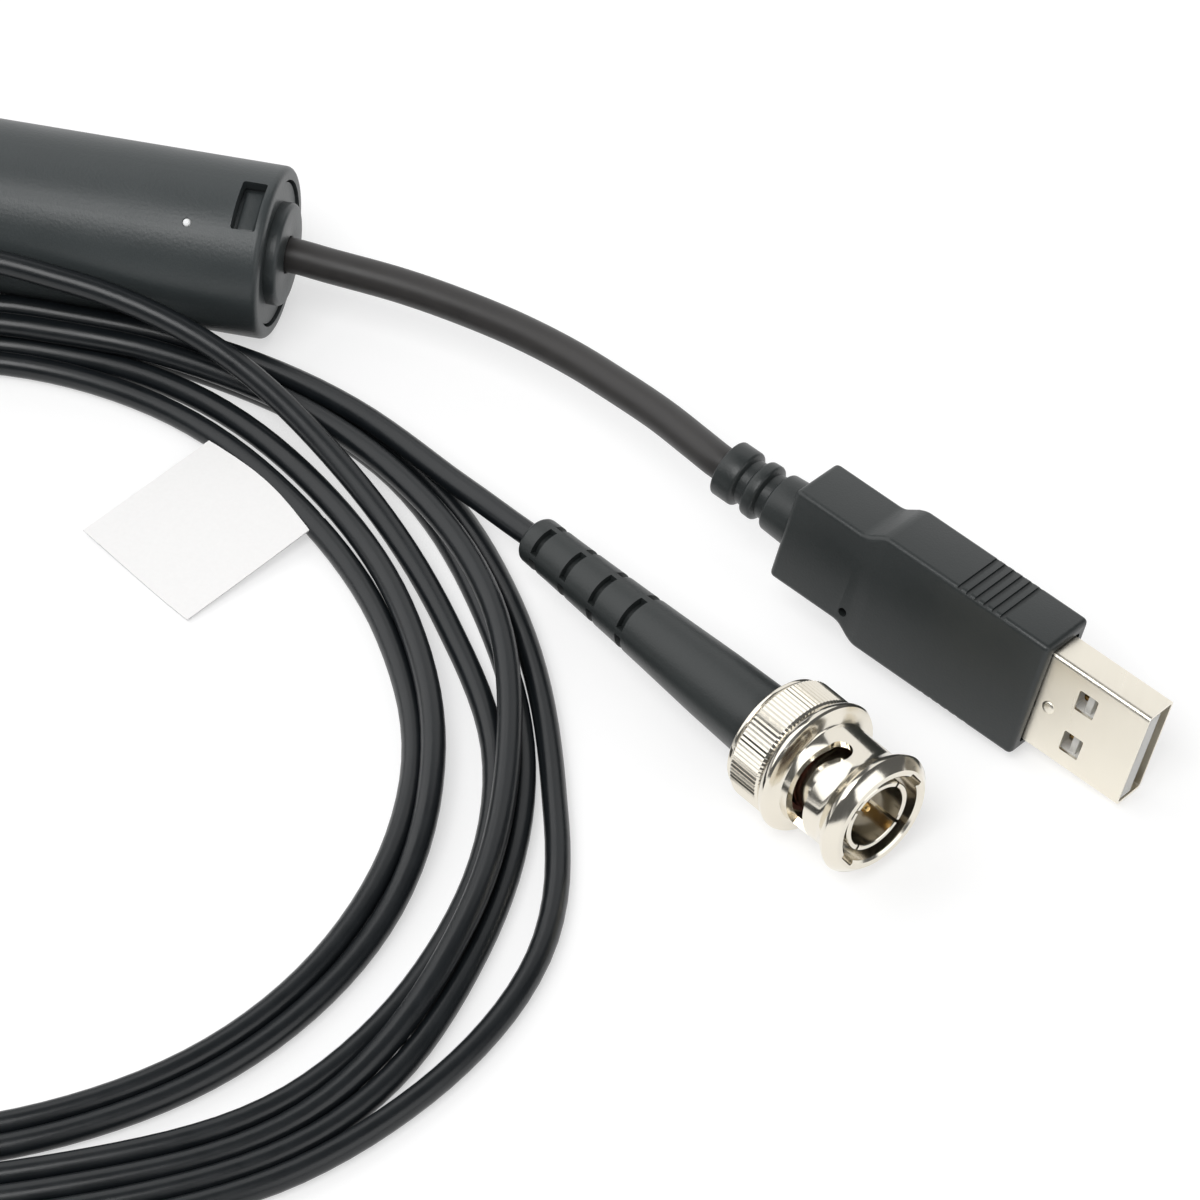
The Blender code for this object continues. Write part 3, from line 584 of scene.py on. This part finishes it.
class LEAD_OT_barrel(bpy.types.Operator):
    """Mould the barrel with its latch windows and its light pipe"""
    bl_idname = "lead.barrel"
    bl_label = "Barrel"

    def execute(self, context):
        sizes = context.scene.lead_sizes
        half = sizes.barrel_half / MM
        radius = sizes.barrel_radius / MM
        wall = 1.4
        edge = 0.7
        hole_radius = 0.48
        pipe_radius = 0.45
        bore = radius - wall
        shape = spun([(-half, bore), (-half, radius), (half, radius), (half, bore)], 128)
        round_rings(shape, [(-half, radius), (half, radius)], edge, 5)
        tube = as_object("barrel", shape)
        for end in (-1, 1):
            window = block((2.7, 6.0, 6.0), (end * LATCH_PLACE, 0, radius), edge=0.25, segments=2)
            cut(tube, turn_about_x(window, LATCH_TURN))
        hole = spun([(6.0, 0), (6.0, hole_radius), (radius - 0.05, hole_radius), (radius + 0.2, 0.6),
                     (12.0, 0.6), (12.0, 0)], 40, solid=True)
        cut(tube, turn_about_x(stand_up(hole, LIGHT_PLACE), LIGHT_TURN))
        dress(tube, BARREL_AXIS, "black_abs", "lead", ["barrel_tube"])
        pipe = spun([(4.4, 0), (4.4, pipe_radius), (radius - 0.16, pipe_radius), (radius - 0.04, 0.36),
                     (radius + 0.04, 0.2), (radius + 0.05, 0)], 40, solid=True)
        tip = as_object("light_pipe_tip", turn_about_x(stand_up(pipe, LIGHT_PLACE), LIGHT_TURN))
        dress(tip, BARREL_AXIS, "clear_acrylic", "lead", ["light_pipe"], sharp=60)
        return {"FINISHED"}


class LEAD_OT_end_caps(bpy.types.Operator):
    """Mould the two end caps, each with a boss round its cable and a latch in the barrel's window"""
    bl_idname = "lead.end_caps"
    bl_label = "End caps"

    def execute(self, context):
        sizes = context.scene.lead_sizes
        half = sizes.barrel_half / MM
        plug = 7.7
        boss = 5.6
        slack = 0.12
        inside = 4.5
        sunk = 0.3
        stands_out = 1.1
        ends = (("usb_end_cap", 1, sizes.usb_diameter), ("coax_end_cap", -1, sizes.coax_diameter))
        for name, end, cable in ends:
            hole = cable / 2 / MM + slack
            rear = end * (half - inside)
            face = end * (half - sunk)
            front = end * (half + stands_out)
            cap = spun([(rear, hole), (rear, plug), (face, plug), (face, boss), (front, boss),
                        (front, hole)], 96)
            round_rings(cap, [(front, boss)], offset=0.45, segments=4)
            round_rings(cap, [(front, hole)], offset=0.25, segments=3)
            piece = as_object(name + "_moulding", cap)
            latch = block((2.1, 5.0, 1.9), (end * LATCH_PLACE, 0, 6.9), edge=0.3, segments=3)
            cut(piece, turn_about_x(latch, LATCH_TURN), "UNION")
            dress(piece, BARREL_AXIS, "black_abs", "lead", [name])
        return {"FINISHED"}


class LEAD_OT_usb_grip(bpy.types.Operator):
    """Mould the USB plug's grip, neck and ribbed boot in one piece"""
    bl_idname = "lead.usb_grip"
    bl_label = "USB grip and boot"

    def execute(self, context):
        grip_length = 20.8
        grip_thick = 7.5
        grip_wide = 14.7
        shoulder = 2.2
        neck = 8.9
        neck_thick = 7.4
        neck_wide = 11.7
        groove_count = 6
        first_groove = -6.0
        groove_step = 1.08
        shape = block((grip_length, grip_thick, grip_wide), (-grip_length / 2, 0, 0))
        for length in (shoulder, neck):
            rear = min(shape.faces, key=lambda face: face.calc_center_median().x)
            made = bmesh.ops.extrude_discrete_faces(shape, faces=[rear])["faces"][0]
            bmesh.ops.translate(shape, vec=(-length * MM, 0, 0), verts=made.verts)
            for corner in made.verts:
                corner.co.y = math.copysign(neck_thick / 2 * MM, corner.co.y)
                corner.co.z = math.copysign(neck_wide / 2 * MM, corner.co.z)
        bmesh.ops.remove_doubles(shape, verts=shape.verts, dist=1e-6)
        bevel(shape, shape.edges[:], offset=0.6, segments=4)
        grip = as_object("usb_grip", shape)
        recess = block((26.0, 5.0, 12.5), edge=0.5, segments=3)
        cut(grip, recess)
        for side in (-1, 1):
            grooves = bmesh.new()
            for number in range(groove_count):
                block((0.5, 9.0, 1.0), (first_groove - groove_step * number, 0, side * 7.55), edge=0.12,
                      segments=2, shape=grooves)
            cut(grip, grooves)
        eye = spun([(2.0, 0), (2.0, 0.5), (6.0, 0.5), (6.0, 0)], 24, solid=True)
        sideways = Matrix.Rotation(math.radians(-90), 3, "Z")
        bmesh.ops.rotate(eye, cent=(0, 0, 0), matrix=sideways, verts=eye.verts)
        bmesh.ops.translate(eye, vec=(-22.6 * MM, 0, -4.2 * MM), verts=eye.verts)
        cut(grip, eye)
        self.add_boot(grip, -(grip_length + shoulder + neck))
        dress(grip, USB_FRAME, "black_pvc", "lead", ["usb_overmould"])
        return {"FINISHED"}

    def add_boot(self, grip, rear):
        """Join the boot, with two grooves behind its collar, to the grip's rear."""
        hole = 2.0
        groove = 2.55
        rib = 3.15
        tail = rear - 9.8
        root = rear + 0.6
        boot = spun([(tail, hole), (tail, rib), (rear - 7.4, rib), (rear - 7.1, groove),
                     (rear - 6.2, groove), (rear - 5.9, rib), (rear - 4.7, 3.2), (rear - 4.4, groove),
                     (rear - 3.5, groove), (rear - 3.2, 3.25), (root, 3.5), (root, hole)], 72)
        round_rings(boot, [(tail, rib), (rear - 7.4, rib), (rear - 5.9, rib), (rear - 4.7, 3.2),
                           (rear - 3.2, 3.25)], offset=0.22, segments=3)
        cut(grip, boot, "UNION")


class LEAD_OT_usb_shell(bpy.types.Operator):
    """Fold the USB shell, with its latch windows, spring dimples and the tongue inside"""
    bl_idname = "lead.usb_shell"
    bl_label = "USB shell"

    def execute(self, context):
        length = 18.0
        thick = 4.5
        wide = 12.0
        wall = 0.3
        fold = 0.55
        window_x = 5.2
        window_z = 2.75
        outside = block((length, thick, wide), (3.0, 0, 0))
        long_edges = [edge for edge in outside.edges
                      if abs(edge.verts[0].co.x - edge.verts[1].co.x) > 10 * MM]
        bevel(outside, long_edges, fold, segments=5)
        ends = [face for face in outside.faces if abs(face.normal.x) > 0.9]
        bmesh.ops.delete(outside, geom=ends, context="FACES_ONLY")
        bmesh.ops.solidify(outside, geom=outside.faces[:], thickness=wall * MM)
        shell = as_object("usb_shell_folded", outside)
        for side in (-1, 1):
            window = block((2.3, 12.0, 2.5), (window_x, 0, side * window_z), edge=0.2, segments=2)
            cut(shell, window)
        seam = block((14.0, 1.0, 0.12), (5.5, 2.5, 0))
        cut(shell, seam)
        for face in (-1, 1):
            dimple = bmesh.new()
            bmesh.ops.create_uvsphere(dimple, u_segments=24, v_segments=12, radius=0.75 * MM)
            bmesh.ops.scale(dimple, vec=(1, 0.4, 1), verts=dimple.verts)
            bmesh.ops.translate(dimple, vec=(1.5 * MM, face * 2.2 * MM, -0.3 * MM), verts=dimple.verts)
            cut(shell, dimple, "UNION")
        dress(shell, USB_FRAME, "nickel_steel", "lead", ["usb_shell"])
        tongue_block = block((17.45, 1.85, 10.8), (3.225, -0.725, 0), edge=0.12, segments=2)
        tongue = as_object("usb_tongue_moulding", tongue_block)
        for side in (-1, 1):
            pocket = block((2.9, 6.0, 3.1), (window_x, -0.7, side * window_z), edge=0.3, segments=2)
            cut(tongue, pocket)
            rib = block((0.8, 1.3, 2.4), (window_x, -0.7, side * window_z - 0.45), edge=0.15, segments=2)
            cut(tongue, rib, "UNION")
        dress(tongue, USB_FRAME, "white_nylon", "lead", ["usb_tongue"])
        return {"FINISHED"}


class LEAD_OT_bnc_boot(bpy.types.Operator):
    """Mould the BNC plug's boot with its rows of bending slits"""
    bl_idname = "lead.bnc_boot"
    bl_label = "BNC boot"

    def execute(self, context):
        tail = -51.8
        front = -15.3
        hole = 1.45
        thin = 2.62
        thick = 4.1
        slit_rows = 4
        first_slit = -49.3
        slit_step = 4.67
        slit_wide = 0.95
        slit_deep = 0.8
        slit_middles = (332, 62, 152, 242)
        taper = 0.035
        boot = spun([(-27.0, hole), (tail, hole), (tail, thin), (-47.5, 2.72), (-43.0, 2.9), (-37.0, 3.15),
                     (-32.0, 3.4), (-24.0, 3.85), (-17.5, thick), (front, thick), (front, 3.5),
                     (-27.0, 3.5)], 96)
        round_rings(boot, [(tail, thin)], offset=0.55, segments=4)
        round_rings(boot, [(tail, hole)], offset=0.2, segments=2)
        round_rings(boot, [(front, thick)], offset=0.2, segments=3)
        piece = as_object("bnc_boot_moulding", boot)
        for number in range(slit_rows):
            along = first_slit + slit_step * number
            outside = thin + taper * (along - tail)
            for middle in slit_middles:
                course = [(middle + swing, along) for swing in range(-38, 39, 4)]
                cut(piece, swept_cutter(slit_wide, outside - slit_deep, outside + 0.6, course))
        dress(piece, BNC_FRAME, "black_pvc", "lead", ["bnc_boot"])
        return {"FINISHED"}


class LEAD_OT_bnc_nut(bpy.types.Operator):
    """Turn the coupling nut, knurl it and mill its keyways and bayonet slots"""
    bl_idname = "lead.bnc_nut"
    bl_label = "BNC coupling nut"

    def execute(self, context):
        sizes = context.scene.lead_sizes
        knurl = 7.0
        bore = 4.95
        chamber = 6.3
        slot_wide = 2.4
        pocket_radius = 1.25
        keyway_long = 7.2
        steps_per_tooth = 4
        profile = [(-14.2, chamber), (-14.2, 6.75), (-13.95, knurl), (-10.4, knurl), (-10.15, 6.8),
                   (-9.95, 6.95), (-9.4, 7.3), (-9.05, 7.48), (-8.8, 7.5), (-8.55, 7.35), (-8.35, 6.8),
                   (-8.15, 6.1), (-7.95, 5.8), (-7.7, 5.75), (-2.9, 5.75), (-2.5, 5.82), (-2.0, 6.08),
                   (-1.4, 6.48), (-0.9, 6.8), (-0.55, 6.9), (-0.3, 6.8), (0.3, 6.2), (0.6, 5.85),
                   (0.6, 5.2), (0.4, bore), (-9.2, bore), (-9.2, chamber)]
        shape = spun(profile, sizes.knurl_teeth * steps_per_tooth)
        for point in shape.verts:
            radius = math.hypot(point.co.y, point.co.z)
            if abs(radius - knurl * MM) < 1e-6:
                tooth = 0.5 - 0.5 * math.cos(math.atan2(point.co.y, point.co.z) * sizes.knurl_teeth)
                shrink = 1 - sizes.knurl_depth * tooth / radius
                point.co.y *= shrink
                point.co.z *= shrink
        nut = as_object("bnc_nut", shape)
        turns, places = zip(*SLOT_COURSE)
        for entry in SLOT_ENTRIES:
            course = [(entry + turn, float(np.interp(turn, turns, places)))
                      for turn in range(0, turns[-1] + 1, 4)]
            cut(nut, swept_cutter(slot_wide, bore - 0.5, 6.9, course))
            pocket = spun([(bore - 0.5, 0), (bore - 0.5, pocket_radius), (7.5, pocket_radius), (7.5, 0)], 32,
                          solid=True)
            cut(nut, turn_about_x(stand_up(pocket, places[-1]), entry + turns[-1]))
            keyway = block((keyway_long, slot_wide, 2.4), (places[0] + keyway_long / 2, 0, 4.25), edge=0.2,
                           segments=2)
            cut(nut, turn_about_x(keyway, entry))
        dress(nut, BNC_FRAME, "nickel_brass", "coupling_nut", ["bnc_coupling_nut"], sharp=28)
        ring = spun([(-14.9, 4.5), (-14.9, 6.6), (-14.35, 6.6), (-14.35, 6.0), (-13.4, 6.0),
                     (-13.4, 4.5)], 96)
        round_rings(ring, [(-14.9, 6.6), (-14.35, 6.6)], offset=0.15, segments=3)
        dress(as_object("bnc_ring", ring), BNC_FRAME, "nickel_brass", "coupling_nut",
              ["bnc_retaining_ring"])
        return {"FINISHED"}


class LEAD_OT_bnc_inside(bpy.types.Operator):
    """Turn the pieces inside the BNC plug"""
    bl_idname = "lead.bnc_inside"
    bl_label = "Inside of the BNC plug"

    def execute(self, context):
        sleeve = spun([(-7.7, 3.45), (-7.7, 4.05), (-0.12, 4.05), (0.0, 3.95), (0.0, 3.53),
                       (-0.08, 3.45)], 96)
        piece = as_object("bnc_sleeve", sleeve)
        for turn in (45.0, 135.0):
            spring_gap = block((5.0, 12.0, 0.35), (-1.5, 0, 0))
            cut(piece, turn_about_x(spring_gap, turn))
        dress(piece, BNC_FRAME, "nickel_brass", "lead", ["bnc_contact_sleeve"])
        pin = spun([(-24.0, 0), (-24.0, 0.68), (-2.2, 0.68), (-1.6, 0.5), (-1.3, 0.28), (-1.2, 0)], 40,
                   solid=True)
        dress(as_object("bnc_centre_pin", pin), BNC_FRAME, "gold_plate", "lead", ["bnc_pin"])
        core = spun([(-20.0, 0.9), (-20.0, 1.6), (-7.6, 1.6), (-7.6, 2.4), (-5.0, 2.4), (-5.0, 0.9)], 64)
        round_rings(core, [(-5.0, 2.4)], offset=0.2, segments=3)
        dress(as_object("bnc_core", core), BNC_FRAME, "ptfe", "lead", ["bnc_insulator"])
        return {"FINISHED"}


class LEAD_OT_paper_flag(bpy.types.Operator):
    """Lay the bare paper flag with one end under the innermost turn"""
    bl_idname = "lead.paper_flag"
    bl_label = "Paper flag"

    def execute(self, context):
        length = 19.0
        width = 17.0
        thick = 0.16
        turn = math.radians(56.0)
        reach = 41.3 * MM
        height = 1.4 * MM
        lean = math.radians(-5.5)
        spot = COIL_MIDDLE + Vector((reach * math.cos(turn), reach * math.sin(turn), height))
        tilt = Matrix.Rotation(turn, 4, "Z") @ Matrix.Rotation(lean, 4, "Y")
        place = Matrix.Translation(spot) @ tilt
        shape = bmesh.new()
        bmesh.ops.create_grid(shape, x_segments=24, y_segments=20, size=0.5)
        bmesh.ops.scale(shape, vec=(length * MM, width * MM, 1), verts=shape.verts)
        for point in shape.verts:
            across = point.co.y / (width * MM)
            along = point.co.x / (length * MM) + 0.5
            sag = (0.9 * across ** 2 - 0.1) * (1 - along) + 0.15 * math.sin(5 * across + 2 * along)
            point.co.z += sag * MM
        bmesh.ops.solidify(shape, geom=shape.faces[:], thickness=thick * MM)
        dress(as_object("paper_flag", shape), place, "white_paper", "lead", ["paper_label"], sharp=60)
        return {"FINISHED"}


class LEAD_OT_stage(bpy.types.Operator):
    """Set the white table, the soft lights and the camera"""
    bl_idname = "lead.stage"
    bl_label = "Table, lights and camera"

    def execute(self, context):
        shape = bmesh.new()
        bmesh.ops.create_grid(shape, x_segments=1, y_segments=1, size=2.5)
        table = as_object("table", shape)
        table.data.materials.append(self.table_paper())
        self.add_lamp("key_softbox", (-0.75, 0.10, 0.68), 1.3, 7.6)
        self.add_lamp("back_softbox", (0.10, 0.95, 0.50), 1.3, 4.8)
        self.add_lamp("top_softbox", (-0.05, -0.52, 0.85), 0.55, 5.2)
        self.add_lamp("fill_softbox", (0.80, -0.38, 0.42), 0.7, 2.2)
        self.set_world(context)
        self.set_camera(context)
        return {"FINISHED"}

    def table_paper(self):
        """Seamless paper: matt, brought up to white for the camera and in reflections, with its shadows
        kept."""
        paper, tree, shader, _ = new_finish("seamless_paper", roughness=0.9)
        shader.inputs["Base Color"].default_value = (*linear("#bdbdbd"), 1)
        shader.inputs["Specular IOR Level"].default_value = 0.0
        share = 0.55
        lift = add_node(tree, "ShaderNodeMath", {1: share}, {0: seen_directly(tree)}, operation="MULTIPLY")
        glow = add_node(tree, "ShaderNodeEmission", links={"Strength": lift.outputs["Value"]})
        both = add_node(tree, "ShaderNodeAddShader",
                        links={0: shader.outputs["BSDF"], 1: glow.outputs["Emission"]})
        tree.links.new(both.outputs["Shader"], tree.nodes["Material Output"].inputs["Surface"])
        return paper

    def add_lamp(self, name, place, size, power):
        """A square soft light that looks at the lead."""
        data = bpy.data.lights.new(name, "AREA")
        data.size = size
        data.energy = power
        lamp = bpy.data.objects.new(name, data)
        lamp.location = place
        middle = Vector((0.07, -0.04, 0))
        lamp.rotation_euler = (middle - Vector(place)).to_track_quat("-Z", "Y").to_euler()
        bpy.context.collection.objects.link(lamp)

    def set_world(self, context):
        """A dim, even room."""
        world = bpy.data.worlds.new("dim_room")
        world.use_nodes = True
        back = world.node_tree.nodes["Background"]
        back.inputs["Color"].default_value = (*linear("#f7f9fb"), 1)
        back.inputs["Strength"].default_value = 0.12
        context.scene.world = world

    def set_camera(self, context):
        """The photograph's view: nearly 48 degrees above the table through a long lens."""
        data = bpy.data.cameras.new("camera")
        data.sensor_width = 36.0
        data.lens = 173.5
        data.clip_end = 20.0
        camera = bpy.data.objects.new("camera", data)
        spot = Vector((0.173881, -0.425064, 0.444144))
        target = Vector((0.080393, -0.032641, 0.0))
        camera.location = spot
        camera.rotation_euler = (target - spot).to_track_quat("-Z", "Y").to_euler()
        context.collection.objects.link(camera)
        context.scene.camera = camera


class LEAD_PT_panel(bpy.types.Panel):
    """The lead's sizes, colours and steps"""
    bl_idname = "LEAD_PT_panel"
    bl_label = "Interface lead"
    bl_space_type = "VIEW_3D"
    bl_region_type = "UI"
    bl_category = "Interface lead"

    def draw(self, context):
        for group in (context.scene.lead_sizes, context.scene.lead_colours):
            box = self.layout.box()
            for name in group.bl_rna.properties.keys():
                if name not in ("rna_type", "name"):
                    box.prop(group, name)
        for step in STEPS:
            self.layout.operator(step.bl_idname)


STEPS = (LEAD_OT_inner_parts, LEAD_OT_barrel, LEAD_OT_end_caps, LEAD_OT_usb_grip, LEAD_OT_usb_shell,
         LEAD_OT_bnc_boot, LEAD_OT_bnc_nut, LEAD_OT_bnc_inside, LEAD_OT_usb_cable, LEAD_OT_coax_cable,
         LEAD_OT_paper_flag, LEAD_OT_stage)
CLASSES = (LeadSizes, LeadColours, *STEPS, LEAD_PT_panel)


def register():
    for item in CLASSES:
        bpy.utils.register_class(item)
    bpy.types.Scene.lead_sizes = PointerProperty(type=LeadSizes)
    bpy.types.Scene.lead_colours = PointerProperty(type=LeadColours)


def unregister():
    del bpy.types.Scene.lead_colours
    del bpy.types.Scene.lead_sizes
    for item in reversed(CLASSES):
        bpy.utils.unregister_class(item)


def main():
    register()
    bpy.context.scene.view_settings.view_transform = "Standard"
    bpy.ops.lead.inner_parts()
    bpy.ops.lead.barrel()
    bpy.ops.lead.end_caps()
    bpy.ops.lead.usb_grip()
    bpy.ops.lead.usb_shell()
    bpy.ops.lead.bnc_boot()
    bpy.ops.lead.bnc_nut()
    bpy.ops.lead.bnc_inside()
    bpy.ops.lead.usb_cable()
    bpy.ops.lead.coax_cable()
    bpy.ops.lead.paper_flag()
    bpy.ops.lead.stage()


if __name__ == "__main__":
    main()
